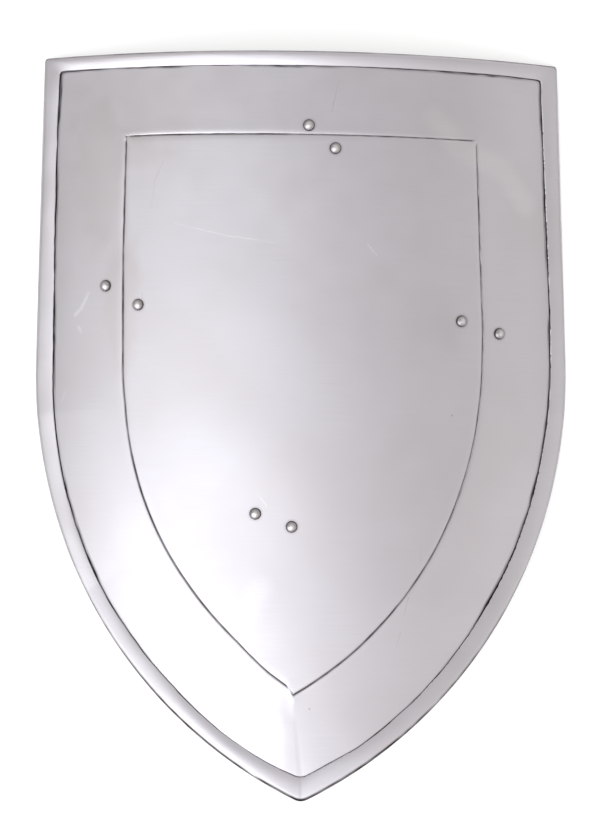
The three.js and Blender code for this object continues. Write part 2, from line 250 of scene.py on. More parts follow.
# Stations round a ring, even along each of its edges
straightLength = plate["widestBelowTop"] - plate["bellyRadius"] * slantTurn[1]
bellyLength = plate["bellyRadius"] * (plate["sideSlant"] + plate["bellyAngle"])
pointLength = pointRadius * (math.acos(-pointCentre[0] / pointRadius) - plate["bellyAngle"])
sideLength = straightLength + bellyLength + pointLength
straightCount = round(plate["sideSteps"] * straightLength / sideLength)
bellyCount = round(plate["sideSteps"] * bellyLength / sideLength)
sideShares = np.arange(plate["sideSteps"] + 1) / plate["sideSteps"]
topCount = plate["topSteps"]
topShares = np.arange(topCount + 1) / topCount
tipStation = topCount + plate["sideSteps"]
stations = topCount + 2 * plate["sideSteps"]


def widthsAlong(pairs, shares):
    return np.interp(shares, *np.array(pairs, dtype=float).T)


def inset(offset, rim, band):  # how far a ring lies inside the outline where rim and band have these widths
    if offset <= edgeRadius:
        return offset + 0 * rim
    if offset <= rimWidth:
        return edgeRadius + (offset - edgeRadius) * (rim - edgeRadius) / (rimWidth - edgeRadius)
    if offset <= bandWidth:
        return rim + (band - rim) * (offset - rimWidth) / (bandWidth - rimWidth)
    return band + offset - bandWidth


def sideLine(offset, side, overshoot):  # one side of a ring from its corner to its tip, x positive
    rims = widthsAlong(rimRight if side > 0 else rimLeft, sideShares)
    bands = widthsAlong(bandRight if side > 0 else bandLeft, sideShares)
    insets = inset(offset, rims, bands)
    foot = bellyCentre + (plate["bellyRadius"] - insets[0]) * slantTurn
    atCorner = (1 + side) // 2  # share of the way along the top edge
    below = inset(offset, widthsAlong(rimTop, atCorner), widthsAlong(bandTop, atCorner))
    fall = side * plate["topFall"] / plate["width"]
    rise = topEdge - below - fall * foot[0] - foot[1]
    corner = foot + upwards * rise / (slantTurn[0] - fall * slantTurn[1])
    start = bellyCentre + (plate["bellyRadius"] - insets[straightCount]) * slantTurn
    share = np.arange(straightCount) / straightCount
    swell = insets[:straightCount] - insets[0] - (insets[straightCount] - insets[0]) * share
    straight = corner + (start - corner) * share[:, None] - swell[:, None] * slantTurn
    bellySpan = plate["sideSlant"] + plate["bellyAngle"]
    turns = plate["sideSlant"] - bellySpan * np.arange(bellyCount) / bellyCount
    radii = plate["bellyRadius"] - insets[straightCount:straightCount + bellyCount]
    belly = bellyCentre + radii[:, None] * np.stack([np.cos(turns), np.sin(turns)], axis=1)
    radii = pointRadius - insets[straightCount + bellyCount:]
    lastTurn = math.acos((-side * overshoot - pointCentre[0]) / radii[-1])
    turns = np.linspace(plate["bellyAngle"], lastTurn, len(radii))
    point = pointCentre + radii[:, None] * np.stack([np.cos(turns), -np.sin(turns)], axis=1)
    return np.concatenate([straight, belly, point])


def roundOff(line, index, reach):  # rounds the corner at one station of a closed ring
    around = (index + np.arange(-40, 41)) % len(line)
    run = line[around]
    walk = np.concatenate([[0], np.cumsum(np.linalg.norm(np.diff(run, axis=0), axis=1))])
    near = np.abs(walk - walk[40]) <= reach
    first, corner, last = run[near][0], run[40], run[near][-1]
    span = walk[near] - walk[near][0]
    share = (span / max(span[-1], 1e-6))[:, None]
    line[around[near]] = (1 - share) ** 2 * first + 2 * share * (1 - share) * corner + share ** 2 * last


def ringFlat(offset):  # a closed ring: left corner, along the top, down the right side, up the left side
    inside = min(max((offset - rimWidth) / (bandWidth - rimWidth), 0), 1)
    overshoot = plate["overshoot"] * inside
    right = sideLine(offset, 1, overshoot)
    left = sideLine(offset, -1, overshoot) * [-1, 1]
    last = len(left) - 1
    bentFrom = last - plate["meetFirst"] - plate["meetSpan"] * (1 - inside) ** 0.5
    left[:, 1] += smoothStep(np.arange(last + 1), bentFrom, last) * (right[-1, 1] - left[-1, 1])
    ends = inset(offset, widthsAlong(rimTop, [0, 1]), widthsAlong(bandTop, [0, 1]))
    swell = inset(offset, widthsAlong(rimTop, topShares), widthsAlong(bandTop, topShares))
    top = left[0] + (right[0] - left[0]) * topShares[:, None]
    top[:, 1] -= swell - ends[0] - (ends[1] - ends[0]) * topShares
    ring = np.concatenate([top[:-1], right, left[1:-1][::-1]])
    corner = max(plate["cornerReach"] * (1 - inside), 0.5)
    roundOff(ring, 0, corner)
    roundOff(ring, topCount, corner)
    roundOff(ring, tipStation, max(plate["tipReach"] * (1 - inside), 0.5))
    return ring


outline = ringFlat(0)
flatMiddle = (outline[:, 1].min() + outline[:, 1].max()) / 2
plateLow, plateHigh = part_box("shield_plate")


def bend(flat, height):  # flat points and heights above the front face, in mm, to places in metres
    angle = flat[:, 0] / plate["bendRadius"]
    reach = plate["bendRadius"] + height
    up = reach * np.cos(angle) - plate["bendRadius"] - plate["rimCrown"]
    x = reach * np.sin(angle) * mm
    y = (flat[:, 1] - flatMiddle) * mm + (plateLow.y + plateHigh.y) / 2
    return np.stack([x, y, up * mm + plateHigh.z], axis=1)


# What the hammer and the file left on the plate

finish = {
    "crownUneven": 0.7, "edgeUneven": 0.2, "nicks": 120, "nickDepth": 0.55,  # mm
    "wave": 0.75, "waves": 7, "waveLengths": (90, 240), "wavesEnd": (195, 240),  # mm; they end across there
    "bandFall": 0.04, "fallFrom": 0.42, "fallTo": 0.64,  # the band's slope towards the point
    "tipFrom": 0.84, "tipFall": 0.038, "fieldRise": 1.8, "cornerEase": 13,  # from and to are shares of a side
    "cornerFlat": 0.7, "cornerSpan": 26, "topFlat": 0.35, "flatHeight": 2.2, "flatFrom": 1.4, "flatTo": 0.8,
    "lineFade": (6, 10), "toolMark": 1.1,  # stations past the tip where the left line sets in
    "keelAcross": -20, "keelHigh": 2.2, "keelReach": 28, "keelRound": 7, "keelTop": -242, "keelEnd": -334,
}


def roundRing(top, right, left):  # named widths of the three edges, laid round a whole ring
    return np.concatenate([widthsAlong(top, topShares[:-1]), widthsAlong(right, sideShares),
                           widthsAlong(left, sideShares[1:-1])[::-1]])


rimRing = roundRing(rimTop, rimRight, rimLeft)
bandRing = roundRing(bandTop, bandRight, bandLeft)
fall = finish["bandFall"]
sideFall = [(finish["fallFrom"], 0), (finish["fallTo"], fall), (finish["tipFrom"], fall),
            (1, finish["tipFall"])]
fallRing = roundRing([(0, 0)], sideFall, sideFall)
crownRing = lumps(stations, 9, 0.35) + lumps(stations, 34, 0.65)
crownRing = finish["crownUneven"] * (crownRing - crownRing.min()) / np.ptp(crownRing)
edgeRing = finish["edgeUneven"] * (lumps(stations, 2.5, 0.6) + lumps(stations, 9, 0.6))
for station in chance.integers(topCount + 40, tipStation, finish["nicks"]):
    edgeRing[station] -= finish["nickDepth"] * chance.uniform(0.3, 1)

# At the upper corners the raw edge was filed and shines
order = np.arange(stations)
fromTip = np.abs(order - tipStation)
toLeftCorner = np.minimum(order, stations - order)
bareRing = np.maximum(0.75 * smoothStep(toLeftCorner, 9, 3), smoothStep(np.abs(order - topCount), 9, 4))

# The pressed lines are strokes: each fades just before a corner, the left one before the right one's end
toCorners = np.minimum(toLeftCorner, np.abs(order - topCount))
lineRing = smoothStep(toCorners, 1.5, 5)
flatRing = finish["cornerFlat"] * smoothStep(toCorners, finish["cornerSpan"], 0)
flatRing[:topCount] = np.maximum(flatRing[:topCount], finish["topFlat"])
lineRing *= smoothStep(order - tipStation, *finish["lineFade"]) + (order <= tipStation)
lineRing *= 1 + 0.1 * lumps(stations, 12, 1)
lineRing[0] = finish["toolMark"]  # deeper where the two upper lines meet on the left
waves = [(chance.uniform(0, math.pi), chance.uniform(*finish["waveLengths"]), chance.uniform(0, 6.3))
         for part in range(finish["waves"])]


def wave(flat):  # the sheet's soft unevenness, only downwards, and none where the shield rests
    total = sum(np.sin(2 * math.pi * (flat @ [math.cos(turn), math.sin(turn)]) / length + start)
                for turn, length, start in waves)
    low = finish["wave"] * (0.5 + total / (2 * len(waves)))
    return -low * (1 - smoothStep(np.abs(flat[:, 0]), *finish["wavesEnd"]))


def grooveHeight(distance, sharpness):  # the pressed line's section, by distance inwards from its bottom
    shoulder = plate["innerShoulder"] if distance > 0 else plate["outerShoulder"]
    soft = plate["lineSoft"] * max(1 - abs(distance) / shoulder, 0) ** 2.5
    sharp = plate["lineSharp"] * sharpness * max(1 - abs(distance) / plate["lineHalf"], 0) ** 1.5
    return -plate["lineDepth"] * (soft + sharp)


# The sheet's section as rings: name, offset from the outline at the belly, height above the front face

def plateSection():
    grooveSteps = [-9, -6, -4, -2.8, -1.8, -1.1, -0.7, -0.35, 0, 0.35, 0.7, 1.1, 1.8, 2.8, 4.2, 5.6, 7]
    field, softer = bandWidth - rimWidth, plate["backSharpness"]
    rings = [("back", bandWidth + step, grooveHeight(step, softer) - thickness) for step in grooveSteps[::-2]]
    rings += [("back", bandWidth - share * field, -thickness) for share in (0.25, 0.5, 0.75, 1)]
    circle = [math.pi * share for share in (0.5, 0.66, 0.82, 1, 1.18, 1.34)]
    middle, flat, rawEdge = plate["rimCrown"] - edgeRadius, plate["flattened"], plate["rawEdge"]

    def around(kind, radius, turn):  # the circle of the roll, hammered flatter in its upper half
        up = -radius * math.sin(turn)
        squeeze = (flat - middle) / edgeRadius if up > 0 else 1
        return kind, edgeRadius + radius * math.cos(turn), middle + up * squeeze

    roll = [around("roll", edgeRadius, turn) for turn in circle]
    hollow = [around("hollow", edgeRadius - thickness, turn) for turn in circle[::-1]]
    over, under = [], []
    for share in (0, 0.13, 0.27, 0.42, 0.56, 0.7, 0.82, 0.92, 0.975):
        x = edgeRadius + (rimWidth - edgeRadius) * share
        z = flat - (flat - rawEdge) * share ** plate["crownRoundness"]
        over.append(("roll", x, z))
        under.append(("hollow", x - 0.25 * thickness * share, z - thickness))
    edge = [("edge", rimWidth - inwards, rawEdge - down)
            for inwards, down in ((0, 0.3), (0.1, 0.8), (0.5, 1.1))]
    rings += roll + over + edge + under[-2::-2] + hollow
    rings.append(("sheet", rimWidth - 3, 0))
    rings += [("band", rimWidth + step, 0) for step in (-1.5, 0.2, 0.9, 1.7, 3.5)]
    rings += [("band", rimWidth + share * (field - plate["outerShoulder"]), 0) for share in (0.25, 0.5, 0.75)]
    return rings + [("groove", bandWidth + step, grooveHeight(step, 1)) for step in grooveSteps]


def plateRing(kind, offset, height):  # flat points and heights of one ring
    flat = ringFlat(offset)
    heights = np.full(stations, float(height))
    if kind in ("groove", "back") and offset > bandWidth - plate["outerShoulder"]:
        base = -thickness if kind == "back" else 0
        heights = base + (heights - base) * lineRing
    if kind in ("roll", "hollow"):
        heights -= crownRing * np.sin(math.pi * np.clip(offset / rimWidth, 0, 1))
        middle = finish["flatHeight"] - (thickness if kind == "hollow" else 0)
        share = smoothStep(height, middle - finish["flatFrom"], middle - finish["flatTo"])
        heights += (middle - heights) * flatRing * share  # the upper corners are hammered flatter
    if kind == "edge":
        ahead = np.roll(flat, -1, axis=0) - np.roll(flat, 1, axis=0)
        ahead /= np.linalg.norm(ahead, axis=1)[:, None]
        flat = flat + edgeRing[:, None] * np.stack([ahead[:, 1], -ahead[:, 0]], axis=1)
    insets = inset(offset, rimRing, bandRing)
    outwards = np.maximum(bandRing - insets, 0)
    outwards = outwards * smoothStep(outwards, 0, 8) + cornerEase(flat) * smoothStep(outwards, 0, 9)
    heights = heights - fallRing * outwards
    heights += finish["fieldRise"] * np.clip(1 - outwards / (bandRing - rimRing), 0, 1)
    if 0 < offset - rimWidth < bandWidth - rimWidth:
        heights += keel(flat)
    return flat, heights + wave(flat)


def cornerEase(flat):  # what rounds off the creases that run out from the corners of the line
    steps = np.linalg.norm(flat - np.roll(flat, 1, axis=0), axis=1)
    walk = np.cumsum(steps)
    apart = [np.abs(walk - walk[station]) for station in (0, topCount, tipStation)]
    nearest = 0.5 * np.min([np.minimum(reach, steps.sum() - reach) for reach in apart], axis=0)
    return np.hypot(nearest, finish["cornerEase"]) - nearest


def keel(flat):  # a soft fold that runs from the tip of the line down to the rim, left of the middle
    along = np.hypot(flat[:, 0] - finish["keelAcross"], finish["keelRound"]) - finish["keelRound"]
    top, end = finish["keelTop"], finish["keelEnd"]
    share = smoothStep(-flat[:, 1], -top, 30 - top) * (1 - smoothStep(-flat[:, 1], -end - 18, -end))
    return finish["keelHigh"] * np.exp(-along / finish["keelReach"]) * share


def riseAt(flat):  # how far the sheet stands above the plain bend at a few places inside the rim
    apart = np.linalg.norm(flat[:, None] - outline[None], axis=2)
    nearest, inwards = apart.argmin(axis=1), apart.min(axis=1)
    rim, band = rimRing[nearest], bandRing[nearest]
    return finish["fieldRise"] * np.clip((inwards - rim) / (band - rim), 0, 1) + wave(flat)


def insidePolygon(points, polygon):  # by counting the polygon's sides to the left of each point
    start, end = polygon, np.roll(polygon, -1, axis=0)
    y = points[:, 1][:, None]
    spans = (start[:, 1] > y) != (end[:, 1] > y)
    rise = np.where(start[:, 1] == end[:, 1], 1, end[:, 1] - start[:, 1])
    x = start[:, 0] + (y - start[:, 1]) * (end[:, 0] - start[:, 0]) / rise
    return (spans & (x < points[:, 0][:, None])).sum(axis=1) % 2 == 1


def fieldPattern(border):  # the field inside the last ring: even triangles in flat mm
    step = plate["fieldSpacing"]
    low, high = border.min(axis=0), border.max(axis=0)
    rows = np.arange(low[1], high[1], step * math.sqrt(0.75))
    points = np.array([(x + (row % 2) * step / 2, y) for row, y in enumerate(rows)
                       for x in np.arange(low[0], high[0], step)])
    points = points[insidePolygon(points, border)]
    nearest = np.linalg.norm(points[:, None] - border[None], axis=2).min(axis=1)
    points = points[nearest > 0.65 * step]
    every = np.concatenate([border, points])
    edges = [(i, (i + 1) % len(border)) for i in range(len(border))]
    found = delaunay_2d_cdt([Vector(point) for point in every], edges, [], 1, 1e-5)
    return np.array([tuple(vertex) for vertex in found[0]]), np.array(found[2])


def strip(first, second):  # quads or, where the second ring has half the stations, triangles between rings
    if len(first) == len(second):
        return np.stack([first, second, np.roll(second, -1), np.roll(first, -1)], axis=1).tolist()
    if len(first) < len(second):
        return [face[::-1] for face in strip(second, first)]
    near, mid, far = first[::2], first[1::2], np.roll(first[::2], -1)
    after = np.roll(second, -1)
    sets = ((near, second, mid), (mid, second, after), (mid, after, far))
    return np.concatenate([np.stack(corners, axis=1) for corners in sets]).tolist()


# Black polish with painted shade in the seam and in the line, and painted shade on and under the outer edge:
# 1 hides the steel
polishAndShade = {
    "line": 0.8, "lineReach": 1.6, "edgeTop": 0.15, "edge": 0.6, "seam": 0.8, "besideSeam": 0.95,
    "nearSeam": 0.6, "rim": 0.55, "rimLow": 0.4, "fineLumps": 0.35, "broadLumps": 0.25,
}
heavyRing = np.maximum(smoothStep(toLeftCorner, 300, 40), 0.85 * smoothStep(fromTip, 20, 280))
heavyRing = np.clip(heavyRing * (0.8 + 0.5 * lumps(stations, 8, 0.8)), 0, 1)  # where the seam kept much polish and painted shade


def ringPolishAndShade(kind, offset):
    fromSeam = offset - rimWidth
    # black polish with painted shade in the line's bottom, on the raw edge and in the seam
    if kind == "groove":
        return polishAndShade["line"] * max(1 - abs(offset - bandWidth) / polishAndShade["lineReach"], 0)
    if kind == "edge":
        return polishAndShade["edgeTop"] if fromSeam == 0 else polishAndShade["edge"]
    if kind == "band" and fromSeam < 0.5:
        return polishAndShade["seam"]
    if kind == "band" and fromSeam < 2:
        return polishAndShade["besideSeam"] * heavyRing if fromSeam < 1.2 else polishAndShade["nearSeam"] * heavyRing ** 2
    # painted shade: the roll's outer edge is darkened as if it lay in shade
    if kind == "roll" and offset < edgeRadius:
        low = smoothStep(fromTip, 300, 120)  # more of it towards the point
        clean = smoothStep(offset, 0.25 + 1.1 * low, 1.2 + 1.7 * low)
        return (polishAndShade["rim"] + polishAndShade["rimLow"] * low) * (1 - clean)
    return 0.0


def ringSkinAndShade(kind, height):  # where the front's grinding didn't reach, and painted shade on the roll's lower outer side, which takes the same dark colour
    if kind == "back":
        return 1.0
    return 0.8 if kind == "hollow" or kind == "roll" and height < 1 else 0.0


def makePlate(material):
    parts, faces, rings, count = [], [], [], 0  # a part's columns: across, along, height, dirtAndShade, skinAndShade, bare
    for kind, offset, height in plateSection():
        uneven = 1 + polishAndShade["fineLumps"] * lumps(stations, 3, 0.7)
        uneven += polishAndShade["broadLumps"] * lumps(stations, 20, 0.7)
        dirtAndShade = ringPolishAndShade(kind, offset) * uneven * (lineRing if kind == "groove" else 1)
        skinAndShade = np.full(stations, ringSkinAndShade(kind, height))
        filed = kind == "edge" or kind == "roll" and offset > 0.95 * rimWidth
        step = 2 if kind in ("back", "band", "groove") else 1
        columns = [*plateRing(kind, offset, height), dirtAndShade, skinAndShade, bareRing * filed]
        parts.append(np.column_stack(columns)[::step])
        rings.append(np.arange(count, count + len(parts[-1])))
        count += len(parts[-1])
    for first, second in zip(rings, rings[1:]):
        faces += strip(first, second)
    border = ringFlat(bandWidth + plate["innerShoulder"])[::2]
    points, triangles = fieldPattern(border)
    extra = points[len(border):]
    for ring, height, side in ((rings[0], -thickness, -1), (rings[-1], 0, 1)):
        number = np.concatenate([ring, np.arange(count, count + len(extra))])
        faces += number[triangles[:, ::side]].tolist()
        none, skinAndShade = np.zeros(len(extra)), np.full(len(extra), float(side < 0))
        parts.append(np.column_stack([extra, height + finish["fieldRise"] + wave(extra), none, skinAndShade, none]))
        count += len(extra)
    every = np.concatenate(parts)
    points = bend(every[:, :2], every[:, 2])
    points[:, 2] = np.clip(points[:, 2], 0, plateHigh.z)  # flat where the shield rests
    piece = addPiece("plate", points.tolist(), faces, material)
    storeOn(piece, "flat", every[:, :3])
    for name, values in zip(("dirtAndShade", "skinAndShade", "bare"), every[:, 3:].T):
        storeOn(piece, name, np.clip(values, 0, 1))
    return piece


# Fasteners: domed rivets with peened tails and washers, set on the plate by Geometry Nodes

fastener = {
    "headDiameter": 11, "headHeight": 3.4, "shankDiameter": 5, "tailDiameter": 7.5, "tailHeight": 1.8,
    "washerDiameter": 14, "washerThickness": 1.3, "gap": 0.3, "leather": 4, "sides": 48, "lean": 0.03,
}
leatherSeat = thickness + plate["lineDepth"] + fastener["gap"]  # down from the front face
washerSeat = leatherSeat + fastener["leather"] + fastener["gap"]
tailSeat = washerSeat + fastener["washerThickness"] + fastener["gap"]
halfWidth, halfHeight = plate["width"] / 2, plate["height"] / 2
rivetPlaces = {
    "left": [(77.9 - halfWidth, halfHeight - 216.1), (111.8 - halfWidth, halfHeight - 234.7)],
    "top": [(7.6, halfHeight - 69.1), (32.2, halfHeight - 90.4)],
    "right": [(halfWidth - 113.6, halfHeight - 250.3), (halfWidth - 74.2, halfHeight - 261.5)],
    "bottom": [(-42.3, halfHeight - 430.5), (-8.5, halfHeight - 442.6)],
}
everyPlace = np.array([place for pair in rivetPlaces.values() for place in pair])


def lathe(profile, sides):  # closed mesh data round Z from points of radius and height in mm
    points, faces, rings = [], [], []
    for radius, height in profile:
        count = sides if radius > 0 else 1
        turns = 2 * math.pi * np.arange(count) / count
        rings.append(len(points) + np.arange(count))
        points += [(radius * math.cos(t) * mm, radius * math.sin(t) * mm, height * mm) for t in turns]
    for lower, upper in zip(rings, rings[1:]):
        for i in range(sides):
            j = (i + 1) % sides
            face = [int(ring[k % len(ring)]) for ring, k in ((lower, i), (lower, j), (upper, j), (upper, i))]
            faces.append(list(dict.fromkeys(face)))
    return points, faces


def rivetProfile():  # from the tail's peened end up the shank to the top of the head
    tail, shank, head = (fastener[key] / 2 for key in ("tailDiameter", "shankDiameter", "headDiameter"))
    end, gap, high = -tailSeat - fastener["tailHeight"], fastener["gap"], fastener["headHeight"]
    profile = [(0, end), (0.35 * tail, end + 0.02), (0.62 * tail, end + 0.2), (0.86 * tail, end + 0.62)]
    profile += [(0.98 * tail, end + 1.2), (tail, -tailSeat - 0.25), (0.97 * tail, -tailSeat)]
    profile += [(shank, -tailSeat), (shank, gap), (0.96 * head, gap), (head, gap + 0.12)]
    profile.append((0.995 * head, gap + 0.4))
    for share in np.linspace(0.17, 1, 11):
        turn = math.pi / 2 * share
        profile.append((max(head * math.cos(turn), 0) if share < 1 else 0, gap + high * math.sin(turn)))
    return profile


def washerProfile():
    hole, rim = fastener["shankDiameter"] / 2 + fastener["gap"], fastener["washerDiameter"] / 2
    low, high, ease = -washerSeat - fastener["washerThickness"], -washerSeat, 0.22
    return [(hole, low + ease), (hole + ease, low), (rim - ease, low), (rim, low + ease), (rim, high - ease),
            (rim - ease, high), (hole + ease, high), (hole, high - ease), (hole, low + ease)]


def fastenerTree(name):  # sets one source shape on every point, turned with the plate and a little askew
    tree = bpy.data.node_groups.new(name, "GeometryNodeTree")
    add = partial(addNode, tree)
    for socket, kind in (("Places", "Geometry"), ("Shape", "Object"), ("Finish", "Material"),
                         ("Lean", "Float"), ("Seed", "Int")):
        tree.interface.new_socket(socket, in_out="INPUT", socket_type="NodeSocket" + kind)
    tree.interface.new_socket("Fasteners", in_out="OUTPUT", socket_type="NodeSocketGeometry")
    given = add("NodeGroupInput").node.outputs
    shape = add("GeometryNodeObjectInfo", given["Shape"], output="Geometry")
    bendTurn = add("GeometryNodeInputNamedAttribute", "bendTurn", data_type="FLOAT")
    facing = add("CombineXYZ", Y=bendTurn)
    placed = add("GeometryNodeInstanceOnPoints", given["Places"], Instance=shape, Rotation=facing)
    back = add("MULTIPLY", given["Lean"], -1.0)
    least = add("CombineXYZ", back, back, 0.0)
    most = add("CombineXYZ", given["Lean"], given["Lean"], 2 * math.pi)
    askew = add("FunctionNodeRandomValue", least, most, Seed=given["Seed"], data_type="FLOAT_VECTOR")
    turned = add("GeometryNodeRotateInstances", placed, Rotation=askew)
    real = add("GeometryNodeRealizeInstances", turned)
    add("NodeGroupOutput", add("GeometryNodeSetMaterial", real, Material=given["Finish"]))
    return tree


def addFasteners(name, profile, material, lean, seed):
    points, faces = lathe(profile, fastener["sides"])
    source = addPiece(name + "Shape", points, faces, material)
    storeOn(source, "local", np.array(points) / mm)  # mm from the shank's own axis
    holder = addPiece(name + "Places", bend(everyPlace, riseAt(everyPlace)).tolist(), [], material)
    storeOn(holder, "bendTurn", everyPlace[:, 0] / plate["bendRadius"])
    tree = fastenerTree(name + "Tree")
    modifier = holder.modifiers.new("fasteners", "NODES")
    modifier.node_group = tree
    values = {"Shape": source, "Finish": material, "Lean": lean, "Seed": seed}
    for item in tree.interface.items_tree:
        if item.name in values:
            modifier[item.identifier] = values[item.name]
    evaluated = holder.evaluated_get(bpy.context.evaluated_depsgraph_get())
    mesh = bpy.data.meshes.new_from_object(evaluated)
    mesh.name = name
    piece = bpy.data.objects.new(name, mesh)
    scene.collection.objects.link(piece)
    for helper in (holder, source):
        bpy.data.objects.remove(helper)
    return piece


# Straps: stiff leather, flat on the plate under its rivets and bowed away from it between them

strap = {
    "width": 50, "endMargin": 16, "tabSlack": 10, "cornerCut": 7, "fullness": 0.6, "edgeRound": 1.3,
    "creaseIn": 4.2, "creaseDepth": 0.35, "creaseHalf": 0.9, "faceSteps": 21, "bowSteps": 110,
    "handRoom": 42, "armRoom": 50, "lift": 1.2, "endThickness": 0.45, "sharpAngle": 50,
}


def strapSection():  # round the strap in mm: across from its middle, and up from the middle of its thickness
    half, thick, ease = strap["width"] / 2, fastener["leather"] / 2, strap["edgeRound"]
    crease = half - strap["creaseIn"]
    creaseSteps = [side * (crease + step) for side in (-1, 1) for step in (-0.9, -0.4, 0, 0.4, 0.9)]
    turns = [math.pi * share for share in (0.14, 0.3, 0.5, 0.7, 0.86)]
    loop = []
    for face in (-1, 1):  # the outer face with its creases, then the face towards the plate
        across = np.linspace(-half + ease, half - ease, strap["faceSteps"]) * -face
        up = np.full(len(across), thick * face)
        if face < 0:
            across = np.sort(np.concatenate([across, creaseSteps]))
            fromCrease = np.abs(np.abs(across) - crease)
            up = -thick + strap["creaseDepth"] * (1 - smoothStep(fromCrease, 0, strap["creaseHalf"]))
        loop += list(zip(across, up))
        loop += [(-face * (half - ease + ease * math.sin(t)), face * thick * math.cos(t)) for t in turns]
    return np.array(loop)


def strapPath(startPair, endPair, room):  # where it starts and heads, its stations along and up, and its ends
    start, end = np.mean(startPair, axis=0), np.mean(endPair, axis=0)
    length = np.linalg.norm(end - start)
    direction = (end - start) / length
    spreads = [abs(np.subtract(*pair) @ direction) / 2 for pair in (startPair, endPair)]
    first, last = -spreads[0] - strap["endMargin"], length + spreads[1] + strap["endMargin"]
    bowStart = spreads[0] + strap["tabSlack"]
    bowLength = length - spreads[1] - strap["tabSlack"] - bowStart
    ends = np.array([0, 0.25, 0.7, 1.4, 2.4, 3.6, 5, 6.5, 9, 13, 18])
    share = np.linspace(0, 1, strap["bowSteps"])
    along = np.concatenate([first + ends, np.linspace(first + 22, bowStart - 3, 6),
                            bowStart + bowLength * share,
                            np.linspace(bowStart + bowLength + 3, last - 22, 6), last - ends[::-1]])
    inBow = np.clip((along - bowStart) / bowLength, 0, 1)
    height = -room * ((1 - np.cos(2 * math.pi * inBow)) / 2) ** strap["fullness"]
    return start, direction, along, height, first, last


def makeStrap(name, startPair, endPair, room, material):
    start, direction, along, height, first, last = strapPath(startPair, endPair, room)
    across = np.array([direction[1], -direction[0]])
    section = strapSection()
    half, thick, cut = strap["width"] / 2, fastener["leather"] / 2, strap["cornerCut"]
    points, flats = [], []
    for place, rise, tilt in zip(along, height, np.gradient(height, along)):
        fromEnd = min(place - first, last - place)
        missing = cut - math.sqrt(max(cut ** 2 - max(cut - fromEnd, 0) ** 2, 0))
        rounded = min(fromEnd / strap["edgeRound"], 1)
        thin = strap["endThickness"] + (1 - strap["endThickness"]) * math.sqrt(rounded * (2 - rounded))
        length = math.hypot(1, tilt)
        side = section[:, 0] * ((half - missing) / half)
        up = section[:, 1] * thin
        forward = place - up * tilt / length
        flat = start + forward[:, None] * direction + side[:, None] * across
        points.append(bend(flat, rise + up / length - thick - leatherSeat + strap["lift"]))
        flats.append(np.column_stack([np.full(len(side), place), side, up]))
    count = len(section)
    rings = [np.arange(i * count, (i + 1) * count) for i in range(len(along))]
    faces = [face for one, two in zip(rings, rings[1:]) for face in strip(one, two)]
    faces += [rings[0][::-1].tolist(), rings[-1].tolist()]
    piece = addPiece(name, np.concatenate(points).tolist(), faces, material, strap["sharpAngle"])
    storeOn(piece, "flat", np.concatenate(flats))
    return piece


# Materials

def distanceTo(add, place, start, end):  # from a place on the flat pattern to a stroke, all in mm
    start, end = Vector((*start, 0)), Vector((*end, 0))
    run = end - start
    fromStart = add("VectorMath", place, start, operation="SUBTRACT")
    share = add("VectorMath", fromStart, run / run.length_squared, operation="DOT_PRODUCT")
    back = add("VectorMath", run, add("Clamp", share), operation="SCALE")
    return add("VectorMath", fromStart, back, operation="DISTANCE")


def nearTo(add, distances, width):  # 1 where one of the distances is short, fading to 0 at the width
    nearest = 1000.0  # mm, farther than any
    for distance in distances:
        nearest = add("MINIMUM", distance, nearest)
    return add("MapRange", nearest, width * 0.2, width, 1, 0)


def strokes(add, place, lines, width):
    ends = [pair for line in lines for pair in zip(line, line[1:])]
    return nearTo(add, [distanceTo(add, place, start, end) for start, end in ends], width)


def spots(add, place, places, width):
    apart = [add("VectorMath", place, (*spot, 0), operation="DISTANCE") for spot in places]
    return nearTo(add, apart, width)


# Mild steel sheet, ground and satin brushed across: a soft broad gloss with fine level lines, faint smudges
# where hands and polish have been, black polish with painted shade in the seam, in the line and round the
# rivets, and painted shade on the outer edge and on the roll's lower outer side.
plateFinish = {
    # the dark colour serves both black polish and painted shade
    "cool": "#CDC9D0", "warm": "#C7C1C5", "dirtAndShade": "#352E30", "bare": "#E8E6E8", "back": "#8D8889",
    "roughness": 0.37, "backRoughness": 0.5, "uneven": 0.014, "shake": 2.2,
    "brushLength": 60, "brushWidth": 0.9,  # mm; real grit lines are 0.1 mm wide and wouldn't show
    "smudge": 120, "blotch": 26, "grimeAndShade": 8.6, "pit": 1.3,  # mm, as are the widths of the strokes
    "bright": 0.9, "scuff": 2.6, "dark": 0.8, "wipe": 17,
    "brightMost": 0.4, "darkMost": 0.13, "wipeMost": 0.22, "brushMost": 0.3, "pitMost": 0.35,
    "grimeAndShadeMost": 0.5,
    "scratch": (30, 0.5, 50), "scratchTurn": 17,  # a scratch's length, width and thickness, and its angle
    "brightMarks": [[(-119, 191), (-71, 179), (-26, 172)], [(-232, 38), (-238, 24)], [(-40, -62), (-31, -74)],
                    [(62, 171), (71, 160)]],
    "scuffs": [[(-223, 107), (-216, 113)], [(-216, 113), (-208, 127)], [(-219, 95), (-216, 90)]],
    "wipes": [[(128, 290), (150, 262), (196, 244), (222, 212)], [(-60, -190), (-38, -150)]],
    "darkMarks": [[(-130, 249), (-138, 233), (-142, 206)], [(36, 324), (29, 294)], [(114, -109), (113, -125)],
                  [(101, -159), (97, -176)], [(94, -191), (90, -205)], [(-151, 126), (-151, 114)]],
    "pits": [(8, -262), (144, 11), (-150, 115), (148, 99), (136, 271), (-168, 275)],
    "dull": [(-196, 243, 34, 88), (-158, 262, 40, 26), (-172, 120, 22, 80), (-150, 262, 26, 20)],
}


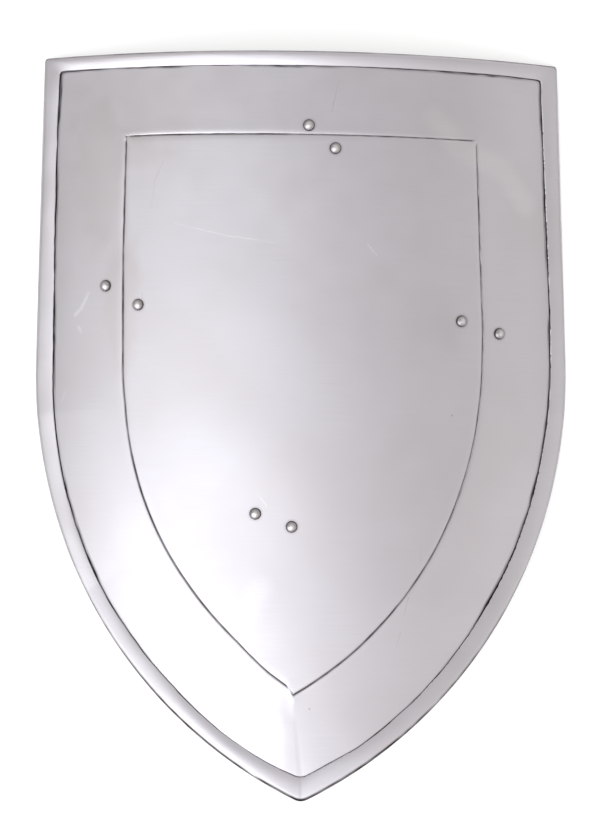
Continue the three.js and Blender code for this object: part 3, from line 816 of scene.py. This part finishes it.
def makePlateSteel():
    material, add = newMaterial("satinSheetSteel", Metallic=1.0)
    pattern = add("Attribute", attribute_name="flat", output="Vector")
    dirtAndShade, skinAndShade, bareEdge = (add("Attribute", attribute_name=name, output="Fac")
                            for name in ("dirtAndShade", "skinAndShade", "bare"))
    place = add("VectorMath", pattern, (1, 1, 0), operation="MULTIPLY")
    shake, uneven = plateFinish["shake"], plateFinish["uneven"]
    lumpy = add("TexNoise", place, 0.25, 2.0, output="Color")
    lumpy = add("VectorMath", lumpy, (shake, shake, 0), (-shake / 2, -shake / 2, 0), operation="MULTIPLY_ADD")
    unsteady = add("VectorMath", place, lumpy, operation="ADD")
    brush = noiseOf(add, pattern, (plateFinish["brushLength"], plateFinish["brushWidth"], 50), 2, 0.6)
    smudge = noiseOf(add, pattern, plateFinish["smudge"])
    blotch = noiseOf(add, pattern, plateFinish["blotch"], 3)
    dull = 0.0
    for across, along, wide, high in plateFinish["dull"]:  # faint patches that hands left dull
        sized = add("Mapping", place, (across, along, 0), Scale=(wide, high, 1), vector_type="TEXTURE")
        reach = add("VectorMath", sized, operation="LENGTH")
        reach = add("ADD", reach, add("MULTIPLY", blotch, 0.8))
        dull = add("MAXIMUM", add("MapRange", reach, 0.9, 1.6, 1, 0), dull)
    warmth = add("MAXIMUM", add("MapRange", smudge, 0.4, 0.66, 0, 0.5), dull)
    colour = add("Mix", warmth, plateFinish["cool"], plateFinish["warm"])
    wipes = strokes(add, unsteady, plateFinish["wipes"], plateFinish["wipe"])
    colour = add("Mix", add("MULTIPLY", wipes, plateFinish["wipeMost"]), colour, plateFinish["bare"])
    brushed = add("MapRange", brush, 0.3, 0.7, 0, plateFinish["brushMost"])
    colour = add("Mix", brushed, colour, plateFinish["warm"])

    broken = add("MapRange", blotch, 0.35, 0.6, 0.25, 1)  # marks come and go along their length
    marks = strokes(add, unsteady, plateFinish["brightMarks"], plateFinish["bright"])
    scuffs = strokes(add, unsteady, plateFinish["scuffs"], plateFinish["scuff"])
    bright = add("MULTIPLY", add("MAXIMUM", marks, scuffs), broken)
    turned = add("Mapping", place, Rotation=(0, 0, math.radians(plateFinish["scratchTurn"])))
    scratches = add("MapRange", noiseOf(add, turned, plateFinish["scratch"], 1), 0.7, 0.78, 0, 0.4)
    bright = add("MAXIMUM", bright, scratches)
    colour = add("Mix", add("MULTIPLY", bright, plateFinish["brightMost"]), colour, plateFinish["bare"])

    ground = add("SUBTRACT", 1.0, skinAndShade)
    skinAndShade = add("MULTIPLY", skinAndShade, add("MapRange", blotch, 0.2, 0.7, 0.88, 1))
    # the back's unground steel, also painted shade on the roll's lower outer side
    colour = add("Mix", skinAndShade, colour, plateFinish["back"])
    fine = add("MULTIPLY", strokes(add, unsteady, plateFinish["darkMarks"], plateFinish["dark"]), broken)
    pits = spots(add, place, plateFinish["pits"], plateFinish["pit"])
    # painted shade with black polish: a dark halo round each rivet head
    rivetRim = spots(add, place, everyPlace.tolist(), plateFinish["grimeAndShade"])
    for share, most in ((fine, "darkMost"), (pits, "pitMost"), (rivetRim, "grimeAndShadeMost")):
        share = add("MULTIPLY", share, ground)
        dirtAndShade = add("MAXIMUM", dirtAndShade, add("MULTIPLY", share, plateFinish[most]))
    # black polish and painted shade: seam, line, outer edge and rivet rims darken to one colour
    colour = add("Mix", dirtAndShade, colour, plateFinish["dirtAndShade"])
    colour = add("Mix", bareEdge, colour, plateFinish["bare"])

    base = plateFinish["roughness"]
    rough = add("MapRange", blotch, 0.3, 0.7, base - uneven, base + uneven)
    more = plateFinish["backRoughness"] - base
    rougher = add("MULTIPLY", add("MAXIMUM", skinAndShade, dirtAndShade), more)
    connect(material, Base_Color=colour, Roughness=add("ADD", rough, rougher),
            Normal=add("Bump", Height=brush, Strength=0.3, Distance=0.0001))
    return material


def roundPiece(add):  # of a rivet or washer: mm from the shank's axis, and the place in metres
    local = add("Attribute", attribute_name="local", output="Vector")
    radial = add("VectorMath", local, (1, 1, 0), operation="MULTIPLY")
    return add("VectorMath", radial, operation="LENGTH"), add("TexCoord", output="Object")


# Mild steel rivets, domed cold with a hammer: small soft facets, tops worn bright with a painted highlight,
# and a painted dark ring of shade at the rim where black polish also sits.
rivetFinish = {"polishedAndHighlit": "#DBD7D9", "crown": "#A8A2A5", "grimeAndShade": "#2E2829", "roughness": 0.35, "facet": 2.6}


def makeRivetSteel():
    material, add = newMaterial("hammeredRivetSteel", Metallic=1.0)
    radius, spot = roundPiece(add)
    wear = noiseOf(add, spot, 2 * mm, 3, 0.6)
    outer = add("ADD", radius, add("MULTIPLY", wear, 0.8))
    inner = add("ADD", radius, add("MULTIPLY", wear, 1.2))
    # painted highlight: the worn top is lighter, standing in for a gloss
    worn = add("MapRange", inner, 1.4, 4.4, 1, 0)
    # painted shade with black polish: a dark ring at the dome's rim
    grimyAndShaded = add("MapRange", outer, 4.5, 6, 0, 0.9)
    colour = add("Mix", worn, rivetFinish["crown"], rivetFinish["polishedAndHighlit"])
    colour = add("Mix", grimyAndShaded, colour, rivetFinish["grimeAndShade"])
    base = rivetFinish["roughness"]
    facets = add("TexVoronoi", spot, 1 / (rivetFinish["facet"] * mm), Smoothness=0.6, feature="SMOOTH_F1")
    rough = add("MapRange", wear, 0.3, 0.7, base - 0.05, base + 0.06)
    connect(material, Base_Color=colour, Roughness=rough,
            Normal=add("Bump", Height=facets, Strength=0.09, Distance=0.0004))
    return material


# Punched mild steel washers, never polished: grey and dull, with faint rings and rust starting at the hole.
washerFinish = {"steel": "#9B9796", "rust": "#6B4A38", "roughness": 0.46, "ring": 0.5}


def makeWasherSteel():
    material, add = newMaterial("punchedWasherSteel", Metallic=1.0)
    radius, spot = roundPiece(add)
    stain = noiseOf(add, spot, 4 * mm, 4, 0.65)
    nearHole = add("MapRange", radius, 2.9, 5.2, 0.12, 0)
    rust = add("MapRange", add("ADD", stain, nearHole), 0.58, 0.78, 0, 0.6)
    rings = add("SINE", add("MULTIPLY", radius, 2 * math.pi / washerFinish["ring"]))
    rough = add("ADD", add("MULTIPLY", rust, 0.3), washerFinish["roughness"])
    connect(material, Base_Color=add("Mix", rust, washerFinish["steel"], washerFinish["rust"]),
            Roughness=rough, Normal=add("Bump", Height=rings, Strength=0.12, Distance=0.0001))
    return material


# Vegetable tanned harness leather: brown, waxed and worn paler in patches, fine grain outside, a napped
# pale flesh side towards the plate, and edges burnished nearly black.
leatherFinish = {
    "grainSide": "#4B2E1D", "worn": "#74503A", "fleshSide": "#8B6A4E", "edge": "#23150E", "roughness": 0.52,
    "grain": 1.3,  # mm between the grain's creases, about twice the real size so that they show
    "patch": 28, "nap": 0.8,
}


def makeStrapLeather():
    material, add = newMaterial("harnessLeather", Specular_IOR_Level=0.45)
    pattern = add("Attribute", attribute_name="flat", output="Vector")
    part = add("SeparateXYZ", pattern).node.outputs
    cells = add("TexVoronoi", pattern, 1 / leatherFinish["grain"], feature="DISTANCE_TO_EDGE")
    grain = add("MapRange", cells, 0.0, 0.16, 0, 1)
    patch = noiseOf(add, pattern, leatherFinish["patch"], 4, 0.6)
    nap = noiseOf(add, pattern, leatherFinish["nap"], 4, 0.7)
    worn = add("MapRange", patch, 0.45, 0.72, 0, 0.7)
    colour = add("Mix", worn, leatherFinish["grainSide"], leatherFinish["worn"])
    inGrain = add("MapRange", grain, 0, 1, 0.35, 0)
    colour = add("Mix", inGrain, colour, leatherFinish["edge"])
    flesh = add("MapRange", part["Z"], 1.2, 1.8, 0, 1)
    napped = add("MapRange", nap, 0.3, 0.7, 0, 0.5)
    paler = add("Mix", napped, leatherFinish["fleshSide"], leatherFinish["worn"])
    colour = add("Mix", flesh, colour, paler)

    half = strap["width"] / 2
    aside = add("ABSOLUTE", part["Y"])
    ragged = add("ADD", aside, add("MULTIPLY", patch, 1.2))
    burnish = add("MapRange", ragged, half - 1, half + 0.3, 0, 1)
    fromCrease = add("ABSOLUTE", add("SUBTRACT", aside, half - strap["creaseIn"]))
    crease = add("MapRange", fromCrease, 0.2, 1.0, 0.7, 0)
    crease = add("MULTIPLY", crease, add("MapRange", part["Z"], -1.6, -1.2, 1, 0))
    colour = add("Mix", add("MAXIMUM", burnish, crease), colour, leatherFinish["edge"])
    base = leatherFinish["roughness"]
    rough = add("MapRange", patch, 0.3, 0.7, base - 0.06, base + 0.08)
    rough = add("ADD", rough, add("MULTIPLY", flesh, 0.3))
    outside = add("Bump", Height=grain, Strength=0.35, Distance=0.00015)
    fuzz = add("Bump", Height=nap, Strength=add("MULTIPLY", flesh, 0.6), Distance=0.0003, Normal=outside)
    connect(material, Base_Color=colour, Roughness=rough, Normal=fuzz)
    return material


plateSteel = makePlateSteel()
rivetSteel = makeRivetSteel()
washerSteel = makeWasherSteel()
strapLeather = makeStrapLeather()
shieldPlate = makePlate(plateSteel)
print("plate:", len(shieldPlate.data.polygons), "faces")
rivets = addFasteners("rivets", rivetProfile(), rivetSteel, fastener["lean"], 3)
washers = addFasteners("washers", washerProfile(), washerSteel, 0.0, 5)
handStrap = makeStrap("handStrap", rivetPlaces["left"], rivetPlaces["top"], strap["handRoom"], strapLeather)
forearmStrap = makeStrap("forearmStrap", rivetPlaces["bottom"], rivetPlaces["right"], strap["armRoom"],
                         strapLeather)
print("rivets, washers and straps")

rivetNodes = [f"rivet_{pair}_{letter}" for pair in rivetPlaces for letter in "ab"]
washerNodes = [node.replace("rivet", "washer") for node in rivetNodes]
for piece, slot, nodes in ((shieldPlate, "plate_steel", ["shield_plate"]),
                           (rivets, "rivet_steel", rivetNodes), (washers, "washer_steel", washerNodes),
                           (handStrap, "strap_leather", ["hand_strap"]),
                           (forearmStrap, "strap_leather", ["forearm_strap"])):
    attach(piece, "root")
    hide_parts(*nodes)
